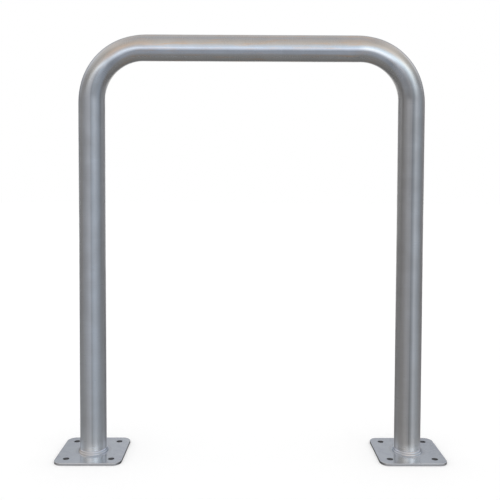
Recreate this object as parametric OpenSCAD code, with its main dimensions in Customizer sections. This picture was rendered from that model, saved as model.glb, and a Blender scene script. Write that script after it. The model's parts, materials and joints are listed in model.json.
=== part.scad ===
// Hoop barrier: a round stainless-steel tube bent into an upside-down U, with a square plate
// welded under each leg. Each plate is bolted to the ground through four holes.
// Millimetres. X runs along the hoop, Y through it and Z up. The origin lies on the ground,
// half way between the legs.

/* [Tube] */
// Outside diameter of the tube
tube_d = 60.3; // [48.3:0.1:76.1]
// Wall thickness of the tube
tube_wall = 2.6; // [1.6:0.1:4]

/* [Hoop] */
// Distance between the centre lines of the two legs
leg_spacing = 735; // [400:5:1500]
// Height of the top of the hoop over the ground
hoop_height = 970; // [500:5:1300]
// Radius of each bend, to the centre line of the tube
bend_radius = 120; // [80:1:180]

/* [Base plates] */
// Side of each square plate
plate_side = 152; // [130:1:250]
// Thickness of each plate
plate_t = 6; // [4:0.5:12]
// Radius of the rounded corners of each plate
corner_radius = 20; // [8:1:30]

/* [Bolt holes] */
// Diameter of each bolt hole
hole_d = 14; // [10:0.5:18]
// Distance from the centre of a hole to the two plate edges next to it
hole_inset = 25; // [18:0.5:28]

/* [Foot welds] */
// Height of each weld up the tube
weld_rise = 8; // [4:0.5:12]
// Width of each weld across the plate
weld_run = 6; // [4:0.5:12]
// How far the face of each weld swells past the straight line between its two edges
weld_crown = 0.6; // [0:0.1:1.5]

/* [Hidden] */

// Radii of the outside and the inside of the tube
tube_r = tube_d / 2;
tube_bore_r = tube_r - tube_wall;

// Where the centre line of the tube goes: up the legs to bend_z, and along the rail at rail_z
leg_x = leg_spacing / 2;
rail_z = hoop_height - tube_r;
bend_z = rail_z - bend_radius;
bend_x = leg_x - bend_radius;

// Distance of the hole centres from the middle of a plate, along X and along Y
hole_offset = plate_side / 2 - hole_inset;

// How far a cut runs past the faces that it goes through
cut_over = 1;

// Number of straight pieces in the outline of a weld's face
weld_steps = 8;

// Shades of satin steel, of the plates, and of the smoother weld metal
tube_colour = [0.62, 0.63, 0.65];
plate_colour = [0.66, 0.66, 0.70];
weld_colour = [0.78, 0.77, 0.76];

$fn = 96;

// A round bar of radius bar_r along the centre line of the hoop, with its feet at height foot_z
module hoop_bar(bar_r, foot_z) {
    for (side = [0, 1]) mirror([side, 0, 0]) {
        translate([leg_x, 0, foot_z]) cylinder(h = bend_z - foot_z, r = bar_r);
        translate([bend_x, 0, bend_z]) rotate([90, 0, 0])
            rotate_extrude(angle = 90) translate([bend_radius, 0]) circle(r = bar_r);
    }
    translate([-bend_x, 0, rail_z]) rotate([0, 90, 0]) cylinder(h = 2 * bend_x, r = bar_r);
}

// The bent tube: it stands on both plates and is open at its two feet
module hoop_tube() {
    color(tube_colour) difference() {
        hoop_bar(tube_r, plate_t);
        hoop_bar(tube_bore_r, plate_t - cut_over);
    }
}

// A flat square slab with rounded corners
module rounded_slab(side, thickness, radius) {
    flat = side - 2 * radius;
    translate([-side / 2, -flat / 2, 0]) cube([side, flat, thickness]);
    translate([-flat / 2, -side / 2, 0]) cube([flat, side, thickness]);
    for (x = [-flat / 2, flat / 2], y = [-flat / 2, flat / 2])
        translate([x, y, 0]) cylinder(h = thickness, r = radius);
}

// One base plate, centred under its leg, with a bolt hole near each corner
module base_plate() {
    color(plate_colour) difference() {
        rounded_slab(plate_side, plate_t, corner_radius);
        for (x = [-hole_offset, hole_offset], y = [-hole_offset, hole_offset])
            translate([x, y, -cut_over]) cylinder(h = plate_t + 2 * cut_over, d = hole_d);
    }
}

// Outline of a weld, from the tube's wall outwards: a right angle, closed by a swelling face.
// A point at share s along the face lies weld_crown * sin(180 * s) outside the straight line.
function weld_face_point(s) =
    let (face = norm([weld_run, weld_rise]), swell = weld_crown * sin(180 * s))
    [tube_r + weld_run * (1 - s) + swell * weld_rise / face, weld_rise * s + swell * weld_run / face];

// The fillet weld that runs all the way round the foot of one leg, on top of its plate
module foot_weld() {
    color(weld_colour) translate([0, 0, plate_t]) rotate_extrude()
        polygon([[tube_r, 0], for (i = [0 : weld_steps]) weld_face_point(i / weld_steps)]);
}

module base_plate_left() { translate([-leg_x, 0, 0]) base_plate(); }
module base_plate_right() { translate([leg_x, 0, 0]) base_plate(); }
module weld_left() { translate([-leg_x, 0, 0]) foot_weld(); }
module weld_right() { translate([leg_x, 0, 0]) foot_weld(); }

hoop_tube();
base_plate_left();
base_plate_right();
weld_left();
weld_right();
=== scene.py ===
# %% [markdown]
# # A hoop barrier of satin stainless steel
#
# The real thing is one length of round tube, bent twice into an upside-down U. A square plate is welded
# under each leg, and four bolts hold each plate to the ground. Such a hoop guards a kerb or a doorway.
#
# The imported CAD model is the frame for everything here. It says how high and wide the hoop is, and this
# script only gives it the surfaces that a drawing leaves out: the slight flattening of a bent tube, broken
# edges on the plates, ripples in the weld beads, brushed grain, and the colours that heat leaves behind. Its
# colours also hold painted light: painted sheen, painted highlights, painted shade and painted reflections.

# %% Load the frame
import json
import bmesh
import bpy
import numpy as np
from mathutils import Matrix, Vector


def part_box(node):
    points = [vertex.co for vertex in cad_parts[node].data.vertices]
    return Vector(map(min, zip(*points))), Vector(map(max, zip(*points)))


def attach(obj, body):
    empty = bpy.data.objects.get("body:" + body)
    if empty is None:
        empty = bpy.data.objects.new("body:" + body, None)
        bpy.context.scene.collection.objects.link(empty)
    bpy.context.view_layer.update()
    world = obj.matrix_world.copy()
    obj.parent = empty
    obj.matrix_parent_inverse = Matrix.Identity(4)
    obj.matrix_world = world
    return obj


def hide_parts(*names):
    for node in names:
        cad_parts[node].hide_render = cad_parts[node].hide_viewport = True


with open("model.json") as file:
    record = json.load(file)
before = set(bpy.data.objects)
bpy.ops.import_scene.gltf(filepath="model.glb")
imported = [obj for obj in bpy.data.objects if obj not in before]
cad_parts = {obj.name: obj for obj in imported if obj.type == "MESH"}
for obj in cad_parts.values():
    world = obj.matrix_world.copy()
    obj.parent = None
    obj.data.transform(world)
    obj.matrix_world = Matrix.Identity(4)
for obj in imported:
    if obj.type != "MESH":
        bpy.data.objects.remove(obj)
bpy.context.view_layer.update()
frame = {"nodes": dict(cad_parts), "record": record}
print("CAD nodes:", sorted(frame["nodes"]))

# %% [markdown]
# ## Measures
#
# All sizes are in metres. They are read from the boxes of the CAD nodes, so the looks can't drift away
# from the model. Only three numbers can't be read from a box: the radius of a bend, the thickness of the
# tube's wall and the rounding of a plate's corners. They are the values that the CAD model uses.

# %% Measures from the CAD nodes
tube_low, tube_high = (np.array(corner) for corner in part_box("hoop_tube"))
plate_low, plate_high = (np.array(corner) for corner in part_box("base_plate_right"))
weld_low, weld_high = (np.array(corner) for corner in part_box("weld_right"))
anchor_holes = next(m for m in frame["record"]["mounts"] if m["kind"] == "bolt_pattern")["dims"]

LEG_X = (plate_low[0] + plate_high[0]) / 2
TUBE_R = tube_high[0] - LEG_X
RAIL_Z = tube_high[2] - TUBE_R
FOOT_Z = tube_low[2]
PLATE_HALF = (plate_high[0] - plate_low[0]) / 2
PLATE_T = plate_high[2] - plate_low[2]
HOLE_R = anchor_holes["hole_r_mm"] / 1000
HOLE_OUT = anchor_holes["spacing_x_mm"] / 2000
WELD_RUN = weld_high[0] - LEG_X - TUBE_R
WELD_RISE = weld_high[2] - weld_low[2]
BEND_R = 0.120
WALL = 0.0026
CORNER_R = 0.020
print(f"tube {TUBE_R * 2000:.1f} mm across, legs {LEG_X * 2000:.0f} mm apart")
print(f"plates {PLATE_HALF * 2000:.0f} x {PLATE_T * 1000:.0f} mm, holes {HOLE_R * 2000:.0f} mm")

# %% [markdown]
# ## Surfaces from arrays
#
# Every shape here is a grid of points that numpy works out all at once. A grid that goes round in both
# directions, like the skin of a ring, has no open edge, so it needs no caps. The helpers below give smooth
# changes along such a grid, and turn it into a mesh with a name, attributes and a body to ride on.

# %% Smooth changes
def smooth_step(x):
    """0 below 0, 1 above 1, and 3 x^2 - 2 x^3 between them, which starts and ends level."""
    x = np.clip(x, 0, 1)
    return x * x * (3 - 2 * x)


def between(x, start, rise, end, fall):
    """A smooth step from 0 up to 1 over rise, from start on, and one back down over fall, from end on."""
    return smooth_step((x - start) / rise) * (1 - smooth_step((x - end) / fall))


def bell(x, middle, width):
    """1 at the middle and 0.37 one width away: e to the power of minus ((x - middle) / width)^2."""
    return np.exp(-(((x - middle) / width) ** 2))


print(f"smooth step at 0.25: {smooth_step(0.25):.3f}")

# %% Grids and pieces
def grid_faces(rows, columns, rows_close=True, columns_close=True):
    """The squares between neighbouring points of a grid, as four corner numbers each.
    Point j of row i meets point j + 1 of its row and point j of row i + 1. Where the rows or the columns
    close, the last also meets the first."""
    row_squares = rows if rows_close else rows - 1
    column_squares = columns if columns_close else columns - 1
    i, j = np.meshgrid(np.arange(row_squares), np.arange(column_squares), indexing="ij")
    i_next = (i + 1) % rows
    j_next = (j + 1) % columns
    corners = [i * columns + j, i * columns + j_next, i_next * columns + j_next, i_next * columns + j]
    return np.stack(corners, axis=-1).reshape(-1, 4)


def add_piece(name, points, faces, cad_node):
    """A smooth mesh object that stands for a CAD node and rides on the one body."""
    mesh = bpy.data.meshes.new(name)
    mesh.from_pydata(points.reshape(-1, 3).tolist(), [], faces.tolist())
    mesh.shade_smooth()
    piece = bpy.data.objects.new(name, mesh)
    bpy.context.scene.collection.objects.link(piece)
    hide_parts(cad_node)
    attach(piece, "root")
    return piece


def store(piece, name, values, kind="FLOAT"):
    """Keeps one number or vector per point on the mesh, where a material can read it."""
    attribute = piece.data.attributes.new(name, kind, "POINT")
    field = "vector" if kind == "FLOAT_VECTOR" else "value"
    attribute.data.foreach_set(field, np.ascontiguousarray(values, dtype=np.float32).ravel())


def litres(piece):
    """The volume inside a closed mesh. It is negative where the faces point inwards."""
    shape = bmesh.new()
    shape.from_mesh(piece.data)
    volume = shape.calc_volume(signed=True) * 1000
    shape.free()
    return volume


print("squares of a closed grid of 3 x 4 points:", len(grid_faces(3, 4)))

# %% [markdown]
# ## The bent tube
#
# On a tube bender the straight tube is clamped, and a round former pulls it round. The outside of the bend
# is stretched, so it flattens by about a millimetre, and the inside is squeezed, so it flattens less and
# gets faint wrinkles. A Curve object with a round bevel would be quicker, but its section stays a perfect
# circle. Here a circle is carried along the centre line, and its radius is a function of where it is.

# %% The centre line of the hoop
LEG_LONG = RAIL_Z - BEND_R - FOOT_Z
ARC_LONG = BEND_R * np.pi / 2
RAIL_LONG = 2 * (LEG_X - BEND_R)
BEND_STARTS = np.array([LEG_LONG, LEG_LONG + ARC_LONG + RAIL_LONG])
HOOP_LONG = 2 * LEG_LONG + 2 * ARC_LONG + RAIL_LONG


def centre_line(s):
    """Points of the centre line, its direction, and the side that looks out of the hoop, at distances s
    from the left foot. Each bend turns by a = (s - its start) / BEND_R, from 0 to a quarter turn, and adds
    BEND_R x sin a and BEND_R x (1 - cos a). Between the bends the line is straight."""
    first, second = (np.clip((s - start) / BEND_R, 0, np.pi / 2) for start in BEND_STARTS)
    up = np.clip(s, 0, LEG_LONG)
    across = np.clip(s - BEND_STARTS[0] - ARC_LONG, 0, RAIL_LONG)
    down = np.clip(s - BEND_STARTS[1] - ARC_LONG, 0, LEG_LONG)
    x = -LEG_X + BEND_R * (1 - np.cos(first)) + across + BEND_R * np.sin(second)
    z = FOOT_Z + up + BEND_R * np.sin(first) - BEND_R * (1 - np.cos(second)) - down
    turn = first + second
    level = np.zeros_like(s)
    points = np.stack([x, level, z], axis=-1)
    direction = np.stack([np.sin(turn), level, np.cos(turn)], axis=-1)
    outward = np.stack([-np.cos(turn), level, np.sin(turn)], axis=-1)
    return points, direction, outward


print(f"the tube was cut {HOOP_LONG * 1000:.0f} mm long before it was bent")

# %% The section of the tube
FLAT_OUTSIDE = 0.0010
FLAT_INSIDE = 0.0004
BEND_EARLY = 0.010
BEND_SOFT = 0.035
WRINKLE = 0.00003
WRINKLE_STEP = 0.007
UNEVEN_TUBE = 0.00005


def share_of_bend(s):
    """A smooth step from 0 in a straight to 1 in a bend, over BEND_SOFT from BEND_EARLY before it."""
    inside = [np.minimum(s - start, start + ARC_LONG - s) for start in BEND_STARTS]
    return smooth_step((np.maximum(*inside) + BEND_EARLY) / BEND_SOFT)


def tube_radius(s, angle):
    """Radius of the tube's outside at distance s and angle from the outward side.
    It is TUBE_R, less FLAT_OUTSIDE x cos^2 on the outer half of a bend and FLAT_INSIDE x cos^2 on the inner
    half, plus fine wrinkles WRINKLE_STEP apart on the inner side. Two slow waves, of 0.6 and 0.4 of
    UNEVEN_TUBE, make it uneven, and it is less by UNEVEN_TUBE, so that they stay inside the CAD's tube."""
    bend = share_of_bend(s)
    facing = np.cos(angle)
    outer = np.clip(facing, 0, 1) ** 2
    inner = np.clip(-facing, 0, 1) ** 2
    wrinkles = WRINKLE * inner * np.sin(2 * np.pi * s / WRINKLE_STEP)
    slow = UNEVEN_TUBE * (0.6 * np.sin(37 * s + 2 * angle) + 0.4 * np.sin(61 * s - 3 * angle + 1))
    return TUBE_R - UNEVEN_TUBE + slow - bend * (FLAT_OUTSIDE * outer + FLAT_INSIDE * inner - wrinkles)


flattened = tube_radius(BEND_STARTS[0] + ARC_LONG / 2, 0.0)
print(f"outer side of the first bend: {1000 * (TUBE_R - flattened):.2f} mm flatter")

# %% The skin of the tube
AROUND = 96
# The length of each stretch of the tube, and its number of rings.
LEG, BEND, RAIL = (LEG_LONG, 90), (ARC_LONG, 56), (RAIL_LONG, 60)
STRETCHES = [LEG, BEND, RAIL, BEND, LEG]

starts = np.cumsum([0] + [length for length, rings in STRETCHES])
stations = [start + np.linspace(0, *stretch) for start, stretch in zip(starts, STRETCHES)]
stations = np.unique(np.round(np.concatenate(stations), 6))
angles = np.arange(AROUND) * 2 * np.pi / AROUND - np.pi / 2

along, angle = np.meshgrid(stations, angles, indexing="ij")
points, direction, outward = centre_line(along)
sideways = np.cross(direction, outward)
spoke = np.cos(angle)[..., None] * outward + np.sin(angle)[..., None] * sideways
radius = tube_radius(along, angle)[..., None]
outer_wall = points + radius * spoke
inner_wall = points + (radius - WALL) * spoke
tube_rings = np.concatenate([outer_wall, inner_wall[::-1]])
tube_along = np.concatenate([along, along[::-1]])
tube_angle = np.concatenate([angle, angle])

tube_faces = grid_faces(len(tube_rings), AROUND)
hoop = add_piece("satin_hoop_tube", tube_rings, tube_faces, "hoop_tube")
print(f"hoop tube: {len(hoop.data.polygons)} squares, {litres(hoop):.4f} litres of steel")

# %% [markdown]
# ### What the tube's finish needs to know
#
# The belt that polishes a tube runs round it, so the grain lies in rings, in the bends too. A material can
# only follow that if the mesh says where each point was on the straight tube. So the mesh keeps that place
# as a vector, and a UV map whose U runs along the tube. The UV map tells the shader which way the tube
# runs, and the vector is for patterns, because it has no seam.
#
# The satin isn't the same all over, either. It is smoother on the rail and above the welds, and its colour
# holds painted light: a painted sheen on the feet, the rail and above the welds, painted shade, painted
# highlights on the bends and painted warm reflections. Noise wouldn't put a mark in its place. So each mark
# is a formula of the place on the tube, stored as one share per point, and the material blends its colours by
# these shares.

# %% Ways to say where a point is
# Three places are shares of a bend's length: from the nearer leg, into the first bend, and into the last.
from_foot = np.minimum(tube_along, HOOP_LONG - tube_along)
into_bend = (from_foot - LEG_LONG) / ARC_LONG
first_bend = (tube_along - BEND_STARTS[0]) / ARC_LONG
last_bend = (tube_along - BEND_STARTS[1]) / ARC_LONG
# Degrees from the front of the tube: 90 is the side inside the hoop, and -90 the outside.
inward = (np.degrees(tube_angle) + 90) % 360 - 180

straight_place = [tube_along, TUBE_R * np.cos(tube_angle), TUBE_R * np.sin(tube_angle)]
store(hoop, "straight", np.stack(straight_place, axis=-1), "FLOAT_VECTOR")
store(hoop, "from_weld", from_foot - WELD_RISE)
print("the bends start at metre", np.round(BEND_STARTS, 3))

# %% Where the steel is smoother, bluer or painted brighter
LIT_FOOT_REACH = 0.50
BRUSH_SHEEN_REACH = 0.020

# 1 on the rail and 0 on the legs, with a smooth step along each bend. The rail is smoother, and it is
# painted brighter, a painted sheen.
rail_share = smooth_step(into_bend)
# The first leg's steel is a little bluer: 1 on that leg, with a smooth step to 0 along its bend.
first_leg = 1 - smooth_step(first_bend)
# The feet are painted brighter, a painted sheen of light from the plate and floor: 1 at the plate, with a
# smooth step to 0 half a metre up.
foot = 1 - smooth_step(from_foot / LIT_FOOT_REACH)
# Above the weld the tube is smoother and painted brighter, a painted sheen. Its share falls evenly to 0 at
# 20 mm above the weld. It starts at 0.2 on the sides, and sin^4 of the angle adds up to 0.55 in front and
# behind.
above_weld = (from_foot - WELD_RISE) / BRUSH_SHEEN_REACH
brush_and_sheen = (0.2 + 0.55 * np.sin(tube_angle) ** 4) * np.clip(1 - above_weld, 0, 1)
print(f"highest brushed share: {brush_and_sheen.max():.2f}")

# %% Where the steel is painted darker
# Painted shade in a thin line 7 degrees inside the front of each leg: 0.4 x a bell 3 degrees wide.
leg_line_shade = 0.4 * bell(inward, 7, 3) * (1 - rail_share)
# Painted shade on the last leg: 0.24 on its front and inner side, 0.28 more close to the front.
on_last_leg = smooth_step((last_bend - 0.5) / 0.5)
last_leg_shade = 0.24 * between(inward, -8, 10, 49, 40) + 0.28 * between(inward, -8, 10, 14, 12)
# Painted shade on the lower half of each bend, 22 degrees inside the front and the back: 0.7 x a bell 15
# degrees wide.
from_front_or_back = 90 - np.abs(90 - inward)
lower_bend_shade = 0.7 * bell(from_front_or_back, 22, 15) * between(into_bend, -0.036, 0.12, 0.52, 0.22)
# Painted shade on the front of the upper legs: 0.25 x a bell 32 degrees wide, from half a metre up into the
# bend.
upper_leg = smooth_step((from_foot - 0.50) / 0.12) * (1 - smooth_step(into_bend / 0.4))
upper_leg_shade = 0.25 * bell(inward, -6, 32) * upper_leg
# Painted shade along the front of the first bend's upper half: 0.4 x a bell 6 degrees wide.
first_bend_shade = 0.4 * bell(inward, -1, 6) * between(first_bend, 0.5, 0.15, 1.0, 0.1)
painted_shade = leg_line_shade + on_last_leg * last_leg_shade + lower_bend_shade + upper_leg_shade + first_bend_shade
print(f"dullest share {painted_shade.max():.2f}, mean share {painted_shade.mean():.3f}")

# %% Painted highlights and painted warm reflections
def bend_highlight(down, climb_from, width, rise):
    """The painted highlights of one bend, where down is 0 at the rail and 1 at the leg.
    The painted streak is rise x a bell of the given width. It lies 10 degrees inside the front, climbs
    outwards by 20 degrees from climb_from on, and fades from 0.52 down. The painted patch is 0.5 x a bell
    14 degrees wide, 30 degrees outside the front and halfway down."""
    middle = 10 - 20 * smooth_step((down - climb_from) / 0.43)
    highlight_streak = rise * (1 - smooth_step((down - 0.52) / 0.52)) * bell(inward, middle, width)
    highlight_patch = 0.5 * bell(inward, -30, 14) * between(down, 0.10, 0.25, 0.60, 0.20)
    return highlight_streak + highlight_patch


# The painted highlight streak grows in two steps on the first bend, over 30 mm on the last.
first_down = 1 - first_bend
in_steps = 0.3 * smooth_step((first_down + 0.05) / 0.30) + 0.5 * smooth_step((first_down - 0.45) / 0.20)
at_once = smooth_step(last_bend * ARC_LONG / 0.030 + 0.5)
painted_highlight = bend_highlight(first_down, 0.36, 7, in_steps) + bend_highlight(last_bend, 0.25, 11, at_once)
painted_highlight = np.clip(painted_highlight, 0, 1)
# A painted warm reflection lies on the first bend's upper half and on the rail before the last bend.
warm_reflection_share = 0.35 * bell(inward, -8, 14) * between(first_bend, 0.45, 0.2, 1.0, 0.2)
warm_reflection_share += 0.25 * bell(inward, -24, 12) * between(last_bend, -0.35, 0.2, 0.0, 0.2)
print(f"highest shares: handled {painted_highlight.max():.2f}, film {warm_reflection_share.max():.2f}")

# %% Store the shares and the UV map
marks = {"rail_share": rail_share, "first_leg": first_leg, "warm_reflection_share": warm_reflection_share, "painted_highlight": painted_highlight}
marks |= {"foot": foot, "painted_shade": painted_shade, "brush_and_sheen": brush_and_sheen}
for name, share in marks.items():
    store(hoop, name, share)

u_here = tube_along / HOOP_LONG
u_next = np.roll(u_here, -1, axis=0)
v_here = np.broadcast_to(np.arange(AROUND) / AROUND, u_here.shape)
v_next = np.broadcast_to(np.arange(1, AROUND + 1) / AROUND, u_here.shape)
corner_uv = [(u_here, v_here), (u_here, v_next), (u_next, v_next), (u_next, v_here)]
uv = np.stack([np.stack(pair, axis=-1) for pair in corner_uv], axis=2)
hoop.data.uv_layers.new(name="Along").uv.foreach_set("vector", uv.astype(np.float32).ravel())
print("UV map Along, and attributes:", [a.name for a in hoop.data.attributes if not a.name.startswith(".")])

# %% [markdown]
# ## The base plates
#
# Each plate is cut from 6 mm sheet, with rounded corners and four bolt holes, and its sharp edges are
# broken with a file. A bevelled cube with boolean holes would do, but its faces get messy at the holes. Here
# one quarter of the plate is a fan of rays from the hole to the quarter's outline. The rays cross the top,
# go down through the hole and come back along the underside. Three mirrored copies make the plate whole.

# %% Outline and edges of a quarter plate
EDGE_BREAK = 0.0009
HOLE_BREAK = 0.0004
OUTLINE_STEPS = 15


def quarter_outline(inset):
    """Outline of the quarter plate where x and y are positive, drawn in by inset on its outer sides.
    Three of its corners are square, and the outer one is an arc of radius CORNER_R - inset. The slice says
    which points lie on the outer sides."""
    side = PLATE_HALF - inset
    flat = PLATE_HALF - CORNER_R
    steps = np.linspace(0, 1, OUTLINE_STEPS)[:-1]
    turn = np.linspace(0, np.pi / 2, OUTLINE_STEPS)
    arc = flat + (CORNER_R - inset) * np.stack([np.cos(turn), np.sin(turn)], axis=-1)
    inner_x = np.stack([side * steps, 0 * steps], axis=-1)
    outer_x = np.stack([side + 0 * steps, flat * steps], axis=-1)
    outer_y = np.stack([flat * (1 - steps[1:]), side + 0 * steps[1:]], axis=-1)
    inner_y = np.stack([0 * steps, side * (1 - steps)], axis=-1)
    outline = np.concatenate([inner_x, outer_x, arc, outer_y, inner_y])
    return outline, slice(len(inner_x), len(outline) - len(inner_y) + 1)


def broken_edges(size, steps):
    """How far in from the side, and how high, the points of the upper and then the lower broken edge lie.
    Each is a quarter circle: at angle a it is size x (1 - sin a) in and size x (1 - cos a) off the face."""
    turn = np.linspace(0, np.pi / 2, steps)
    inset = size * (1 - np.sin(turn))
    z = PLATE_T - size * (1 - np.cos(turn))
    return zip([*inset, *inset[::-1]], [*z, *(PLATE_T - z[::-1])])


print("points of the quarter's outline:", len(quarter_outline(EDGE_BREAK)[0]))

# %% One quarter of a plate
# How far out each row of the top lies, from 1 at the outline to 0 at the hole.
TOP_ROWS = [1, 0.985, 0.93, 0.85, 0.75, 0.65, 0.55, 0.45, 0.35, 0.25, 0.17, 0.10, 0.05, 0.015, 0]


def lifted(flat, z):
    """Flat points, all at the height z."""
    return np.c_[flat, np.full(len(flat), z)]


def quarter_plate():
    """Rows of points from the outline over the top, down the hole and back under the plate, and rows down
    the outer side. A row of the top lies at hole + share x (outline - hole)."""
    outline, outer = quarter_outline(EDGE_BREAK)
    centre = np.array([HOLE_OUT, HOLE_OUT])
    ray = outline - centre
    ray_angle = np.arctan2(ray[:, 1], ray[:, 0])
    rim = np.stack([np.cos(ray_angle), np.sin(ray_angle)], axis=-1)
    start = centre + (HOLE_R + HOLE_BREAK) * rim
    top = [lifted(start + share * (outline - start), PLATE_T) for share in TOP_ROWS]
    hole = [lifted(centre + (HOLE_R + inset) * rim, z) for inset, z in broken_edges(HOLE_BREAK, 4)]
    under = [row * [1, 1, 0] for row in top[::-1]]
    side = [lifted(quarter_outline(inset)[0][outer], z) for inset, z in broken_edges(EDGE_BREAK, 6)]
    return np.stack(top + hole[1:-1] + under), np.stack(side)


face_rows, side_rows = quarter_plate()
print("rows and points of a quarter's faces:", face_rows.shape[:2])

# %% Whole plates
UNEVEN_TOP = 0.00006
WAVES = 8


def plate_unevenness(x, y, seed):
    """A sum of WAVES sines of random direction and 25 to 90 mm length, from 0 to 1."""
    chance = np.random.default_rng(seed)
    total = np.zeros_like(x)
    for turn, length, phase in chance.uniform([0, 0.025, 0], [2 * np.pi, 0.090, 2 * np.pi], (WAVES, 3)):
        total += np.sin(2 * np.pi * (x * np.cos(turn) + y * np.sin(turn)) / length + phase)
    return 0.5 + total / (2 * WAVES)


def four_quarters():
    """Points and faces of the quarter's two patches and of their three mirrored copies."""
    patches = [(face_rows, grid_faces(*face_rows.shape[:2], rows_close=False))]
    patches.append((side_rows, grid_faces(*side_rows.shape[:2], rows_close=False, columns_close=False)))
    points = []
    faces = []
    count = 0
    for mirror in ([1, 1, 1], [-1, 1, 1], [-1, -1, 1], [1, -1, 1]):
        for patch, squares in patches:
            points.append(patch.reshape(-1, 3) * mirror)
            faces.append(squares + count)
            count += len(points[-1])
    return np.concatenate(points), np.concatenate(faces)


def join_patches(plate):
    """Merges the points that meet, turns every face outwards, and counts the edges left open."""
    shape = bmesh.new()
    shape.from_mesh(plate.data)
    bmesh.ops.remove_doubles(shape, verts=shape.verts, dist=1e-6)
    bmesh.ops.recalc_face_normals(shape, faces=shape.faces)
    shape.to_mesh(plate.data)
    open_edges = sum(not edge.is_manifold for edge in shape.edges)
    shape.free()
    return open_edges


print("squares of a plate:", len(four_quarters()[1]))

# %% Build the plates
BRUSH_SHEEN_SIDE, BRUSH_SHEEN_FRONT = 0.050, 0.060
BRUSH_SHEEN_START = 0.010


def mark_plate(plate, leg_x):
    """Stores the distance from the weld, the share of smoother steel with a painted sheen, and 1 inside the
    holes.
    The share is 0.3, and up to 0.7 more in front of the leg, where it is a painted highlight. From 10 mm
    beside the weld it fades over 50 mm, and over up to 60 mm more in front."""
    place = np.zeros(len(plate.data.vertices) * 3, np.float32)
    plate.data.vertices.foreach_get("co", place)
    place = place.reshape(-1, 3)
    from_leg = np.hypot(place[:, 0] - leg_x, place[:, 1])
    from_weld = from_leg - TUBE_R - WELD_RUN
    in_front = smooth_step(1.6 * np.clip(-place[:, 1] / from_leg, 0, 1) - 0.6)
    reach = BRUSH_SHEEN_SIDE + BRUSH_SHEEN_FRONT * in_front
    from_hole = np.hypot(np.abs(place[:, 0] - leg_x) - HOLE_OUT, np.abs(place[:, 1]) - HOLE_OUT)
    store(plate, "from_weld", from_weld)
    store(plate, "brush_and_sheen", (0.3 + 0.7 * in_front) * (1 - smooth_step((from_weld - BRUSH_SHEEN_START) / reach)))
    store(plate, "in_hole", 1 - smooth_step((from_hole - HOLE_R) / HOLE_BREAK))


def build_plate(name, cad_node, leg_x, seed):
    """A closed plate under the leg at leg_x. Its top sinks by up to UNEVEN_TOP."""
    points, faces = four_quarters()
    on_top = smooth_step((points[:, 2] - PLATE_T + EDGE_BREAK) / EDGE_BREAK)
    points[:, 2] -= UNEVEN_TOP * on_top * plate_unevenness(points[:, 0], points[:, 1], seed)
    points[:, 0] += leg_x
    plate = add_piece(name, points, faces, cad_node)
    open_edges = join_patches(plate)
    mark_plate(plate, leg_x)
    print(f"{name}: {len(plate.data.polygons)} squares, {open_edges} open edges, {litres(plate):.4f} litres")
    return plate


plates = [build_plate("base_plate_steel_left", "base_plate_left", -LEG_X, 3)]
plates.append(build_plate("base_plate_steel_right", "base_plate_right", LEG_X, 8))

# %% [markdown]
# ## The weld beads
#
# The welder goes round the foot of each leg once. The bead is a little fatter where it ends on its own
# start, and it has fine crescents, one for each drop of filler. A shallow groove along its middle parts it
# into two ridges, and it is leaner at the sides of the leg, where the torch moved faster. It is made like
# the tube: a closed outline, carried round a circle. The part of the outline that lies in the tube and in
# the plate never shows.

# %% The shape of a bead
BEAD_AROUND, BEAD_UP = 720, 23
SWELL = 0.0007
LAP_SWELL = 0.0002
LAP_AT, LAP_REACH = np.pi / 2 + 0.2, 0.22
GROOVE = 0.0007
GROOVE_WIDE = 0.16
CRESCENTS = 88
CRESCENT_CURVE = 22
RIPPLE = 0.00016
LEAN_SIDES = 0.0012
WANDER = 0.0003
SUNK_IN_TUBE, SUNK_IN_PLATE, UNDER_TOE = 0.0006, 0.0002, 0.0008


def bead(leg_x, seed):
    """Rings of points round one foot, each from the toe on the plate, share 0, to the top on the tube, 1.
    The straight face between them swells by SWELL x sin(180 x share), and by LAP_SWELL more at the lap. The
    groove takes GROOVE x a bell from its middle, and the crescents sink it by up to RIPPLE. Run and rise are
    less by WANDER + LEAN_SIDES x cos^2 of the angle, and move by WANDER x the mean of three slow waves."""
    chance = np.random.default_rng(seed)
    turn = np.arange(BEAD_AROUND) * 2 * np.pi / BEAD_AROUND
    turn, share = np.meshgrid(turn, np.linspace(0, 1, BEAD_UP), indexing="ij")
    waves = [np.sin(n * turn + phase) for n, phase in zip((3, 5, 9), chance.uniform(0, 6, 3))]
    toe_wander = WANDER * sum(waves) / 3
    top_wander = np.roll(toe_wander, BEAD_AROUND // 8, axis=0)
    lap = smooth_step(1 - np.abs(turn - LAP_AT) / LAP_REACH)
    arch = np.sin(np.pi * share)
    crescent = 0.5 - 0.5 * np.cos(CRESCENTS * turn + CRESCENT_CURVE * (share - 0.5) ** 2)
    swell = (SWELL + LAP_SWELL * lap) * arch - GROOVE * bell(share, 0.5, GROOVE_WIDE)
    swell -= RIPPLE * arch ** 0.5 * crescent
    lean = WANDER + LEAN_SIDES * np.cos(turn) ** 2
    face = np.hypot(WELD_RUN, WELD_RISE)
    out = TUBE_R + (WELD_RUN - lean + toe_wander) * (1 - share) + swell * WELD_RISE / face
    high = (WELD_RISE - lean + top_wander) * share + swell * WELD_RUN / face
    return close_outline(leg_x, turn[:, :1], out, high)


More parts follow.
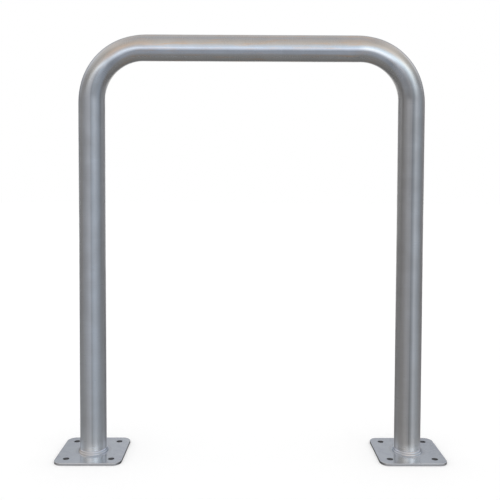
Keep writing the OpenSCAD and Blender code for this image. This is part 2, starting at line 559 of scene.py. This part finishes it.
def close_outline(leg_x, turn, out, high):
    """Rings round the leg at leg_x, closed by three points that lie in the tube, in the corner and in the
    plate. Out is the distance from the leg's axis, and high the height above the plate."""
    in_tube = TUBE_R - SUNK_IN_TUBE
    low_rise = WELD_RISE - LEAN_SIDES - 2 * WANDER
    low_run = WELD_RUN - LEAN_SIDES - UNDER_TOE
    hidden = [(in_tube, low_rise), (in_tube, -SUNK_IN_PLATE), (TUBE_R + low_run, -SUNK_IN_PLATE)]
    hidden_out, hidden_high = (np.tile(values, (len(turn), 1)) for values in zip(*hidden))
    out = np.concatenate([out, hidden_out], axis=1)
    high = np.concatenate([high, hidden_high], axis=1)
    return np.stack([leg_x + out * np.cos(turn), out * np.sin(turn), PLATE_T + high], axis=-1)


print(f"bead: {BEAD_AROUND} rings, {CRESCENTS} crescents of {RIPPLE * 1000:.2f} mm")

# %% Build the beads
def build_weld(name, cad_node, leg_x, seed, even, straw, finish):
    """One bead, with two guides for its colours: the height from toe to top, and the share of straw tint.
    That share is even, plus straw x 1.3 x (the cosine of the angle from the finish - 0.15), for the bead
    was hottest where the welder finished. Finish is in degrees: -90 is the front, -180 the left side."""
    rings = bead(leg_x, seed)
    weld = add_piece(name, rings, grid_faces(*rings.shape[:2])[:, ::-1], cad_node)
    flat = rings.reshape(-1, 3)
    from_finish = np.arctan2(flat[:, 1], flat[:, 0] - leg_x) - np.radians(finish)
    store(weld, "up_the_bead", (flat[:, 2] - PLATE_T) / WELD_RISE)
    store(weld, "straw", even + straw * 1.3 * (np.cos(from_finish) - 0.15))
    print(f"{name}: {len(weld.data.polygons)} squares, {litres(weld) * 1000:.2f} millilitres")
    return weld


welds = [build_weld("foot_weld_bead_left", "weld_left", -LEG_X, 5, even=0.0, straw=0.8, finish=-158)]
welds.append(build_weld("foot_weld_bead_right", "weld_right", LEG_X, 12, even=0.25, straw=0.08, finish=-60))

# %% [markdown]
# ## Finishes
#
# Three effects turn up on more than one piece, so each is a node group with named sockets:
#
# - *Grain* is noise that is squeezed in one direction until it looks like fine scratches.
# - *Cloudiness* is slow noise, for the patches that hands, cleaning and polishing leave.
# - *Heat tint* is the straw, brown and blue film that grows on hot steel, by distance from the weld.
#
# A node tree built by hand in the editor is easy to look at but hard to read as text. So a few helpers set
# one node each and hand back its output, and a material then reads like a recipe.

# %% Helpers for groups and nodes
def new_group(name, inputs, output, kind):
    """An empty shader node group with its inputs and one output, its group input and its group output."""
    group = bpy.data.node_groups.new(name, "ShaderNodeTree")
    for socket, socket_kind, default in inputs:
        made = group.interface.new_socket(socket, in_out="INPUT", socket_type=socket_kind)
        if default is not None:
            made.default_value = default
    group.interface.new_socket(output, in_out="OUTPUT", socket_type=kind)
    return group, group.nodes.new("NodeGroupInput").outputs, group.nodes.new("NodeGroupOutput").inputs


def put(tree, kind, links=None, **settings):
    """A node with its settings. Links names its inputs and gives a plain value or another node's output."""
    node = tree.nodes.new("ShaderNode" + kind)
    for name, value in settings.items():
        setattr(node, name, value)
    for name, value in (links or {}).items():
        if isinstance(value, bpy.types.NodeSocket):
            tree.links.new(value, node.inputs[name])
        else:
            node.inputs[name].default_value = value
    return node


def effect(tree, group, links):
    """The output of a shared effect, placed in a material with its own values."""
    return put(tree, "Group", links, node_tree=group).outputs[0]


def point_value(tree, name, output="Fac"):
    """What store() has kept on the mesh under this name."""
    return put(tree, "Attribute", attribute_name=name).outputs[output]


print("ready: new_group, put, effect, point_value")

# %% Helpers for numbers and colours
def calculate(tree, operation, *values, clamp=False):
    """The result of a Math node."""
    return put(tree, "Math", dict(enumerate(values)), operation=operation, use_clamp=clamp).outputs[0]


def remap(tree, value, low, high, new_low=0.0, new_high=1.0):
    """A value between low and high, laid out between new_low and new_high and held there."""
    limits = {"Value": value, "From Min": low, "From Max": high, "To Min": new_low, "To Max": new_high}
    return put(tree, "MapRange", limits).outputs[0]


def blend_values(tree, factor, a, b):
    """Value a turned into value b by factor."""
    return put(tree, "Mix", {0: factor, 2: a, 3: b}).outputs[0]


def blend_colours(tree, factor, a, b, mode="MIX"):
    """Colour a turned into colour b by factor. Each may be an output or a plain colour."""
    colours = {6: a, 7: b}
    for number, colour in colours.items():
        if isinstance(colour, tuple):
            colours[number] = (*colour, 1)
    return put(tree, "Mix", {0: factor, **colours}, data_type="RGBA", blend_type=mode).outputs[2]


def ramp(tree, factor, stops):
    """A colour ramp with the given stops, each a place from 0 to 1 and a colour."""
    node = put(tree, "ValToRGB", {"Fac": factor})
    elements = node.color_ramp.elements
    elements[0].position, elements[-1].position = stops[0][0], stops[-1][0]
    for place, colour in stops[1:-1]:
        elements.new(place)
    for element, (place, colour) in zip(elements, stops):
        element.color = (*colour, 1)
    return node.outputs["Color"]


print("ready: calculate, remap, blend_values, blend_colours, ramp")

# %% Grain and cloudiness
VECTOR, FLOAT, COLOUR = "NodeSocketVector", "NodeSocketFloat", "NodeSocketColor"

grain_sockets = [("Place", VECTOR, None), ("Lines", VECTOR, (1000, 20, 20))]
grain_group, grain_in, grain_out = new_group("Grain", grain_sockets, "Scratches", FLOAT)
squeezed = put(grain_group, "VectorMath", {0: grain_in["Place"], 1: grain_in["Lines"]}, operation="MULTIPLY")
fine_noise = {"Vector": squeezed.outputs[0], "Scale": 1.0, "Detail": 3.0, "Roughness": 0.65}
fine = put(grain_group, "TexNoise", fine_noise)
grain_group.links.new(fine.outputs["Fac"], grain_out["Scratches"])

cloud_sockets = [("Place", VECTOR, None), ("Scale", FLOAT, 12.0)]
cloud_group, cloud_in, cloud_out = new_group("Cloudiness", cloud_sockets, "Patches", FLOAT)
slow_noise = {"Vector": cloud_in["Place"], "Scale": cloud_in["Scale"], "Detail": 3.0}
slow = put(cloud_group, "TexNoise", slow_noise)
cloud_group.links.new(remap(cloud_group, slow.outputs["Fac"], 0.3, 0.7), cloud_out["Patches"])
print("node groups:", grain_group.name, "and", cloud_group.name)

# %% Heat tint
# The film's colour, from 0 at the weld to 1 where the steel stayed cool.
HEAT_FILM = [
    (0.0, (0.55, 0.50, 0.52)),
    (0.25, (0.48, 0.50, 0.60)),
    (0.50, (0.66, 0.52, 0.44)),
    (0.72, (0.72, 0.63, 0.50)),
    (1.0, (1.0, 1.0, 1.0)),
]
tint_sockets = [("Distance", FLOAT, None), ("Reach", FLOAT, 0.010), ("Steel", COLOUR, None)]
tint_sockets += [("Strength", FLOAT, 0.5), ("Patches", FLOAT, 0.5)]
tint_group, tint_in, tint_out = new_group("Heat tint", tint_sockets, "Color", COLOUR)
to_cool = calculate(tint_group, "DIVIDE", tint_in["Distance"], tint_in["Reach"])
uneven = remap(tint_group, tint_in["Patches"], 0, 1, -0.25, 0.25)
heat_film = ramp(tint_group, calculate(tint_group, "ADD", to_cool, uneven, clamp=True), HEAT_FILM)
filmed = blend_colours(tint_group, 1.0, tint_in["Steel"], heat_film, "MULTIPLY")
tinted = blend_colours(tint_group, tint_in["Strength"], tint_in["Steel"], filmed)
tint_group.links.new(tinted, tint_out["Color"])
print("node group:", tint_group.name)

# %% [markdown]
# ### Satin tube
#
# Grain that runs round a tube throws light along it. So a reflection stays crisp round the tube and is
# drawn out into a long smear along it. The shader calls this anisotropy. Its tangent comes from the UV map,
# whose U runs along the tube.
#
# The colour is a chain of blends: the steel of the legs, a painted sheen on the feet and the rail, painted
# shade, the patterns of mill and belt, painted warm reflections on the rail and the first bend, the painted
# highlights of the bends, a painted sheen above the welds and the heat tint. A metal's Base Color is how
# much it reflects, so painted shade is a darker one.

# %% Colours of the tube
FIRST_LEG = (0.602, 0.617, 0.638)
LAST_LEG = (0.622, 0.614, 0.606)
# The feet's colours are painted brighter than the legs', a painted sheen.
FIRST_LIT_FOOT = (0.795, 0.835, 0.885)
LAST_LIT_FOOT = (0.830, 0.830, 0.835)
# The rail's colour is painted brighter than the legs', a painted sheen.
LIT_RAIL_STEEL = (0.765, 0.765, 0.770)
# Painted shade.
PAINTED_SHADE_STEEL = (0.300, 0.300, 0.300)
CLOUDED = (0.930, 0.925, 0.920)
RINGED = (0.930, 0.930, 0.930)
DRAWN = (0.880, 0.880, 0.880)
SCRATCH_DARK = (0.350, 0.350, 0.350)
SCRATCH_LIGHT = (0.850, 0.850, 0.850)
# A painted warm reflection, on the rail and the bends.
WARM_REFLECTION = (0.780, 0.600, 0.470)
# The next two colours are painted highlights, towards the legs and towards the rail.
HIGHLIGHT_LOW = (0.920, 0.985, 0.995)
HIGHLIGHT_HIGH = (0.990, 0.950, 0.890)
# A painted sheen above the welds.
PAINTED_SHEEN_STEEL = (0.920, 0.955, 0.985)
SCRATCHED = 0.15
HEAT_REACH, TUBE_TINT = 0.006, 0.2
print("steel of the rail:", LIT_RAIL_STEEL)

# %% Patterns of the tube
def steel_material(name, anisotropic=0.0):
    """A metal with its shader, ready for its colour, roughness and bump."""
    material = bpy.data.materials.new(name)
    material.use_nodes = True
    shader = material.node_tree.nodes["Principled BSDF"]
    shader.inputs["Metallic"].default_value = 1.0
    shader.inputs["Anisotropic"].default_value = anisotropic
    return material, material.node_tree, shader.inputs


tube_steel, tree, shader = steel_material("Satin tube steel", anisotropic=1.0)
place = point_value(tree, "straight", "Vector")
mark = {name: point_value(tree, name) for name in marks}
# Lines is how fast the noise changes per metre: along the tube, then the two ways across it.
grain = effect(tree, grain_group, {"Place": place, "Lines": (1400, 22, 22)})
rings = effect(tree, grain_group, {"Place": place, "Lines": (110, 9, 9)})
drawn_lines = effect(tree, grain_group, {"Place": place, "Lines": (4, 240, 240)})
streaks = effect(tree, grain_group, {"Place": place, "Lines": (16, 130, 130)})
clouds = effect(tree, cloud_group, {"Place": place, "Scale": 26.0})
print("the tube's material reads", list(mark))

# %% Colour of the tube
leg_steel = blend_colours(tree, mark["first_leg"], LAST_LEG, FIRST_LEG)
foot_steel = blend_colours(tree, mark["first_leg"], LAST_LIT_FOOT, FIRST_LIT_FOOT)
steel = blend_colours(tree, mark["foot"], leg_steel, foot_steel)
steel = blend_colours(tree, mark["rail_share"], steel, LIT_RAIL_STEEL)
steel = blend_colours(tree, mark["painted_shade"], steel, PAINTED_SHADE_STEEL)
for pattern, shade in ((clouds, CLOUDED), (rings, RINGED), (drawn_lines, DRAWN)):
    darker = blend_colours(tree, pattern, (1.0, 1.0, 1.0), shade)
    steel = blend_colours(tree, 1.0, steel, darker, "MULTIPLY")
steel = blend_colours(tree, SCRATCHED, steel, blend_colours(tree, grain, SCRATCH_DARK, SCRATCH_LIGHT))
rail_warm_reflection = calculate(tree, "MULTIPLY", remap(tree, streaks, 0.52, 0.72, 0.0, 0.7), mark["rail_share"])
steel = blend_colours(tree, rail_warm_reflection, steel, WARM_REFLECTION)
highlight_steel = blend_colours(tree, mark["rail_share"], HIGHLIGHT_LOW, HIGHLIGHT_HIGH)
steel = blend_colours(tree, mark["painted_highlight"], steel, highlight_steel)
steel = blend_colours(tree, mark["warm_reflection_share"], steel, WARM_REFLECTION)
steel = blend_colours(tree, mark["brush_and_sheen"], steel, PAINTED_SHEEN_STEEL)
heat = {"Distance": point_value(tree, "from_weld"), "Reach": HEAT_REACH, "Strength": TUBE_TINT}
tinted_steel = effect(tree, tint_group, {**heat, "Steel": steel, "Patches": clouds})
tree.links.new(tinted_steel, shader["Base Color"])
print("nodes so far:", len(tree.nodes))

# %% Roughness and grain of the tube
TUBE_ROUGH = 0.33
RAIL_ROUGH = 0.23
FOOT_ROUGH = 0.20

worn_rough = remap(tree, mark["rail_share"], 0, 0.45, TUBE_ROUGH, RAIL_ROUGH)
rough = blend_values(tree, mark["brush_and_sheen"], worn_rough, FOOT_ROUGH)
rough = calculate(tree, "ADD", rough, remap(tree, grain, 0, 1, -0.12, 0.12))
rough = calculate(tree, "ADD", rough, remap(tree, clouds, 0, 1, -0.02, 0.02))
tree.links.new(rough, shader["Roughness"])
waves = put(tree, "Bump", {"Height": streaks, "Strength": 1.0, "Distance": 0.00008})
fine_lines = {"Height": grain, "Strength": 0.06, "Distance": 0.0002, "Normal": waves.outputs["Normal"]}
tree.links.new(put(tree, "Bump", fine_lines).outputs["Normal"], shader["Normal"])
tangent = put(tree, "Tangent", direction_type="UV_MAP", uv_map="Along")
tree.links.new(tangent.outputs["Tangent"], shader["Tangent"])
hoop.data.materials.append(tube_steel)
print(f"{tube_steel.name}: roughness {TUBE_ROUGH} on the legs and {RAIL_ROUGH} on the rail")

# %% [markdown]
# ### Plates and beads
#
# The plates are sheet as it leaves the mill, so their grain has no direction. They are a little cloudy.
# Round the weld they are smoother and painted brighter, a painted sheen that is a painted highlight in front
# of the leg. Their front and back edges are painted light and the edges at their sides painted dark, a
# painted highlight and a painted shade, and the walls of the holes get painted shade. A face's normal tells
# the material which edge is which. The beads are silver with a cool film, and straw where they were hottest,
# with painted highlights on their ridges and painted shade in their groove and at their toe.

# %% Colour of the plates
PLATE_COLOUR = (0.935, 0.975, 1.000)
PLATE_SHADE = (0.730, 0.760, 0.830)
PIT_DARK = (0.350, 0.350, 0.370)
PIT_LIGHT = (0.900, 0.900, 0.920)
# A painted sheen round the weld, and a painted highlight in front of the leg.
PLATE_PAINTED_SHEEN = (0.930, 0.965, 0.995)
# The next two colours are the plate's edges: painted light on the front and back, painted shade on the sides.
LIT_EDGE = (0.860, 0.860, 0.880)
SHADED_SIDE_EDGE = (0.240, 0.245, 0.255)
# Painted shade on the walls of the holes.
HOLE_SHADE = (0.290, 0.295, 0.310)
PITTED, PLATE_TINT = 0.18, 0.15

plate_steel, tree, shader = steel_material("Mill finish plate steel")
place = put(tree, "TexCoord").outputs["Object"]
brush_and_sheen_here = point_value(tree, "brush_and_sheen")
clouds = effect(tree, cloud_group, {"Place": place, "Scale": 60.0})
pits = effect(tree, grain_group, {"Place": place, "Lines": (420, 420, 420)})
steel = blend_colours(tree, clouds, PLATE_COLOUR, PLATE_SHADE)
steel = blend_colours(tree, PITTED, steel, blend_colours(tree, pits, PIT_DARK, PIT_LIGHT))
steel = blend_colours(tree, brush_and_sheen_here, steel, PLATE_PAINTED_SHEEN)
heat = {"Distance": point_value(tree, "from_weld"), "Reach": HEAT_REACH, "Strength": PLATE_TINT}
top_steel = effect(tree, tint_group, {**heat, "Steel": steel, "Patches": clouds})
# By its normal, a side face gets painted shade and a front or back face painted light.
facing = put(tree, "SeparateXYZ", {0: put(tree, "NewGeometry").outputs["Normal"]})
side_shade = remap(tree, calculate(tree, "ABSOLUTE", facing.outputs["X"]), 0.40, 0.90)
top_face = remap(tree, facing.outputs["Z"], 0.30, 0.95)
steel = blend_colours(tree, top_face, blend_colours(tree, side_shade, LIT_EDGE, SHADED_SIDE_EDGE), top_steel)
# The walls of the holes get painted shade.
steel = blend_colours(tree, point_value(tree, "in_hole"), steel, HOLE_SHADE)
tree.links.new(steel, shader["Base Color"])
print("nodes so far:", len(tree.nodes))

# %% Roughness of the plates
PLATE_ROUGH = 0.25
PLATE_BRUSHED_ROUGH = 0.16
EDGE_ROUGH = 0.45

top_rough = remap(tree, brush_and_sheen_here, 0, 1, PLATE_ROUGH, PLATE_BRUSHED_ROUGH)
top_rough = calculate(tree, "ADD", top_rough, remap(tree, pits, 0, 1, -0.05, 0.05))
top_rough = calculate(tree, "ADD", top_rough, remap(tree, clouds, 0, 1, -0.03, 0.03))
tree.links.new(blend_values(tree, top_face, EDGE_ROUGH, top_rough), shader["Roughness"])
bump = put(tree, "Bump", {"Height": pits, "Strength": 0.10, "Distance": 0.0003})
tree.links.new(bump.outputs["Normal"], shader["Normal"])
for plate in plates:
    plate.data.materials.append(plate_steel)
print("plates:", plate_steel.name, "with a roughness of", PLATE_ROUGH)

# %% Weld material
# Colours up the bead: painted shade at the toe, two ridges painted bright as painted highlights with
# painted shade in the groove between them, and the top.
SILVER_WITH_PAINTED_LIGHT = [
    (0.0, (0.53, 0.57, 0.64)),
    (0.2, (0.70, 0.76, 0.85)),
    (0.5, (0.58, 0.63, 0.71)),
    (0.8, (0.74, 0.80, 0.90)),
    (1.0, (0.63, 0.68, 0.76)),
]
STRAW_WITH_PAINTED_LIGHT = [
    (0.0, (0.62, 0.58, 0.54)),
    (0.2, (0.90, 0.84, 0.77)),
    (0.5, (0.68, 0.62, 0.57)),
    (0.8, (0.90, 0.85, 0.79)),
    (1.0, (0.74, 0.73, 0.73)),
]
weld_metal, tree, shader = steel_material("Weld bead metal")
place = put(tree, "TexCoord").outputs["Object"]
height = point_value(tree, "up_the_bead")
clouds = effect(tree, cloud_group, {"Place": place, "Scale": 60.0})
pits = effect(tree, grain_group, {"Place": place, "Lines": (900, 900, 900)})
patchy = remap(tree, clouds, 0, 1, -0.20, 0.20)
straw = calculate(tree, "ADD", point_value(tree, "straw"), patchy, clamp=True)
painted_silver = ramp(tree, height, SILVER_WITH_PAINTED_LIGHT)
painted_straw = ramp(tree, height, STRAW_WITH_PAINTED_LIGHT)
tree.links.new(blend_colours(tree, straw, painted_silver, painted_straw), shader["Base Color"])
tree.links.new(remap(tree, pits, 0, 1, 0.14, 0.30), shader["Roughness"])
bump = put(tree, "Bump", {"Height": pits, "Strength": 0.12, "Distance": 0.0002})
tree.links.new(bump.outputs["Normal"], shader["Normal"])
for weld in welds:
    weld.data.materials.append(weld_metal)
print("materials:", [m.name for m in (tube_steel, plate_steel, weld_metal)])

# %% [markdown]
# ## Camera
#
# The photograph was measured: the edges of the tube, the outlines of the plates and the centres of the bolt
# holes. A camera was then fitted to them by least squares. It stands 1.5 m in front of the hoop, 63 cm above
# the ground, and looks down by 2 degrees. The picture is 500 pixels wide, and the camera's axis meets it at
# (246, 210), which the shift of the lens stands for.

# %% Camera
PHOTO = 500
FOCAL_PIXELS = 661.90
AXIS_AT = (246.0, 210.0)
CAMERA_AT = (-0.02123, -1.5306, 0.6273)
YAW, PITCH, ROLL = -0.0057, 0.0379, 0.0036
SENSOR, FARTHEST = 36, 60

camera_data = bpy.data.cameras.new("photo_camera")
camera = bpy.data.objects.new("photo_camera", camera_data)
bpy.context.scene.collection.objects.link(camera)
right = np.array([np.cos(YAW), np.sin(YAW), 0])
ahead = np.array([-np.sin(YAW) * np.cos(PITCH), np.cos(YAW) * np.cos(PITCH), -np.sin(PITCH)])
upward = np.cross(right, ahead)
rolled_right = np.cos(ROLL) * right + np.sin(ROLL) * upward
rolled_up = np.cos(ROLL) * upward - np.sin(ROLL) * right
turned = np.eye(4)
turned[:3, :3] = np.stack([rolled_right, rolled_up, -ahead], axis=1)
turned[:3, 3] = CAMERA_AT
camera.matrix_world = Matrix(turned.tolist())
camera_data.sensor_width = SENSOR
camera_data.lens = FOCAL_PIXELS / PHOTO * SENSOR
camera_data.shift_x = (PHOTO / 2 - AXIS_AT[0]) / PHOTO
camera_data.shift_y = (AXIS_AT[1] - PHOTO / 2) / PHOTO
camera_data.clip_end = FARTHEST
bpy.context.scene.camera = camera
print(f"lens {camera_data.lens:.1f} mm, shift {camera_data.shift_x:.3f}, {camera_data.shift_y:.3f}")

# %% [markdown]
# ## Studio
#
# A matt thing needs only even light, so the world is plain white at strength 1, and a matt colour renders as
# it is written. Steel needs more, because it looks like what stands round it: under an even white it would be
# a flat grey. So glossy rays see a photographer's studio instead. There is white paper behind the hoop, as
# wide as the picture, with a dark gap at each side that draws the tube's edges. In front are a broad bluish
# window, a warm wall above it and a pale plaster ceiling. Lamps could do this too, but tones that the
# world's nodes give by direction are softer and make no noise.

# %% Tones of the studio
WHITE = (1.0, 1.0, 1.0)
CLOUD = (0.90, 0.93, 1.00)
PALE_SKY = (0.78, 0.86, 1.00)
CLEAR_SKY = (0.63, 0.81, 1.00)
LAMPLIGHT = (1.00, 0.92, 0.84)
PLASTER = (1.00, 0.94, 0.89)


def tone(strength, colour):
    """One of the colours above, times a strength."""
    return tuple(strength * channel for channel in colour)


# Azimuth in degrees, from 0 at the viewer round to the right, the tone at eye level, and the tone 30 degrees
# up. The window has two panes, at -6 and 30 degrees, with a darker bar at 6. The gaps lie past 120.
GAP = tone(0.03, WHITE)
WALLS = [
    (-180, GAP, tone(0.60, CLOUD)),
    (-150, GAP, tone(0.50, CLOUD)),
    (-120, GAP, tone(1.10, CLOUD)),
    (-100, tone(0.40, LAMPLIGHT), tone(0.60, CLOUD)),
    (-60, tone(0.55, LAMPLIGHT), tone(0.35, WHITE)),
    (-30, tone(0.85, CLOUD), tone(0.70, LAMPLIGHT)),
    (-6, tone(1.25, PALE_SKY), tone(0.90, LAMPLIGHT)),
    (6, tone(1.15, CLEAR_SKY), tone(0.65, LAMPLIGHT)),
    (18, tone(1.40, CLEAR_SKY), tone(0.80, LAMPLIGHT)),
    (30, tone(1.60, CLEAR_SKY), tone(1.05, LAMPLIGHT)),
    (42, tone(1.40, CLEAR_SKY), tone(0.90, LAMPLIGHT)),
    (70, tone(1.00, CLEAR_SKY), tone(0.40, LAMPLIGHT)),
    (100, tone(0.45, PALE_SKY), tone(0.45, WHITE)),
    (120, GAP, tone(1.10, CLOUD)),
    (150, GAP, tone(0.50, CLOUD)),
    (180, GAP, tone(0.60, CLOUD)),
]
CEILING = tone(0.65, PLASTER)
ZENITH = tone(0.55, CLOUD)
print(f"walls: {len(WALLS)} tones in each of two rings")

# %% World
# Cosines of the angle from straight behind the hoop, where the paper starts and where it is full.
PAPER_EDGE, PAPER_FULL = 0.93, 0.98

world = bpy.data.worlds.new("Studio")
bpy.context.scene.world = world
world.use_nodes = True
world.cycles.sampling_method = "NONE"
tree = world.node_tree
background = tree.nodes["Background"].inputs
ray = put(tree, "SeparateXYZ", {0: put(tree, "TexCoord").outputs["Generated"]}).outputs
forward = calculate(tree, "MULTIPLY", ray["Y"], -1.0)
azimuth = calculate(tree, "ARCTAN2", ray["X"], forward)
elevation = calculate(tree, "ARCSINE", ray["Z"])


def climb(low, high):
    """0 below the elevation low and 1 above high, both in degrees, and even between them."""
    return remap(tree, elevation, np.radians(low), np.radians(high))


def glossy_rays(tree, seen):
    """1 for the rays that metal and glass send out, and 0 for all others."""
    return calculate(tree, "MAXIMUM", seen["Is Glossy Ray"], seen["Is Transmission Ray"])


round_share = remap(tree, azimuth, -np.pi, np.pi)
low_ring = ramp(tree, round_share, [((degrees + 180) / 360, low) for degrees, low, high in WALLS])
high_ring = ramp(tree, round_share, [((degrees + 180) / 360, high) for degrees, low, high in WALLS])
studio = blend_colours(tree, climb(0, 30), low_ring, high_ring)
studio = blend_colours(tree, climb(30, 55), studio, CEILING)
studio = blend_colours(tree, climb(55, 90), studio, ZENITH)
seen = put(tree, "LightPath").outputs
paper = remap(tree, ray["Y"], PAPER_EDGE, PAPER_FULL)
gloss_on_paper = calculate(tree, "MULTIPLY", glossy_rays(tree, seen), paper)
plain = calculate(tree, "MAXIMUM", seen["Is Camera Ray"], seen["Is Diffuse Ray"])
white_share = calculate(tree, "MAXIMUM", plain, gloss_on_paper)
tree.links.new(blend_colours(tree, white_share, studio, WHITE), background["Color"])
background["Strength"].default_value = 1.0
print("world:", world.name, "with", len(tree.nodes), "nodes")

# %% [markdown]
# ### Floor
#
# The floor is matt, pale and lit by the white world, so it shows the soft shadow of the hoop. A little glow
# of its own, for camera rays only, lifts it to the white of the paper. Glossy rays see it as white only far
# off. Nearer the hoop it is as grey as a studio floor that the window lights at a slant, and that is what
# makes the underside of the rail dark.

# %% Floor
# Metres behind the hoop, and the tone of the floor there as the steel sees it.
FLOOR_TONES = [
    (-8.0, tone(1.45, PALE_SKY)),
    (-4.4, tone(1.20, PALE_SKY)),
    (-2.6, tone(0.95, PALE_SKY)),
    (-1.7, tone(0.50, PALE_SKY)),
    (-0.8, tone(0.50, PALE_SKY)),
    (-0.3, tone(0.30, WHITE)),
    (0.1, tone(0.27, WHITE)),
    (1.0, tone(0.20, WHITE)),
    (2.0, tone(0.30, WHITE)),
    (4.0, WHITE),
]
FLOOR_HALF = 20
FLOOR_MATT = 0.80
FLOOR_LIFT = 0.24

floor_mesh = bpy.data.meshes.new("studio_floor")
floor_corners = [(x * FLOOR_HALF, y * FLOOR_HALF, 0) for x, y in ((-1, -1), (1, -1), (1, 1), (-1, 1))]
floor_mesh.from_pydata(floor_corners, [], [(0, 1, 2, 3)])
floor = bpy.data.objects.new("studio_floor", floor_mesh)
bpy.context.scene.collection.objects.link(floor)
print("floor:", 2 * FLOOR_HALF, "metres square, with", len(FLOOR_TONES), "tones in depth")

# %% Floor paint
floor_paint = bpy.data.materials.new("Pale floor")
floor_paint.use_nodes = True
tree = floor_paint.node_tree
tree.nodes.remove(tree.nodes["Principled BSDF"])
near, far = FLOOR_TONES[0][0], FLOOR_TONES[-1][0]
place = put(tree, "SeparateXYZ", {0: put(tree, "TexCoord").outputs["Object"]})
depth = remap(tree, place.outputs["Y"], near, far)
tones = ramp(tree, depth, [((y - near) / (far - near), floor_tone) for y, floor_tone in FLOOR_TONES])
seen = put(tree, "LightPath").outputs
matt = put(tree, "BsdfDiffuse", {"Color": (*tone(FLOOR_MATT, WHITE), 1)})
lift = put(tree, "Emission", {"Color": (*WHITE, 1), "Strength": FLOOR_LIFT})
lifted_matt = put(tree, "AddShader", {0: matt.outputs[0], 1: lift.outputs[0]})
for_camera = {0: seen["Is Camera Ray"], 1: matt.outputs[0], 2: lifted_matt.outputs[0]}
in_metal = put(tree, "Emission", {"Color": tones, "Strength": 1.0})
plain_floor = put(tree, "MixShader", for_camera).outputs[0]
for_metal = {0: glossy_rays(tree, seen), 1: plain_floor, 2: in_metal.outputs[0]}
surface = put(tree, "MixShader", for_metal)
tree.links.new(surface.outputs[0], tree.nodes["Material Output"].inputs["Surface"])
floor.data.materials.append(floor_paint)
bpy.context.scene.view_settings.view_transform = "Standard"
print("floor paint:", FLOOR_MATT, "matt, lifted by", FLOOR_LIFT)
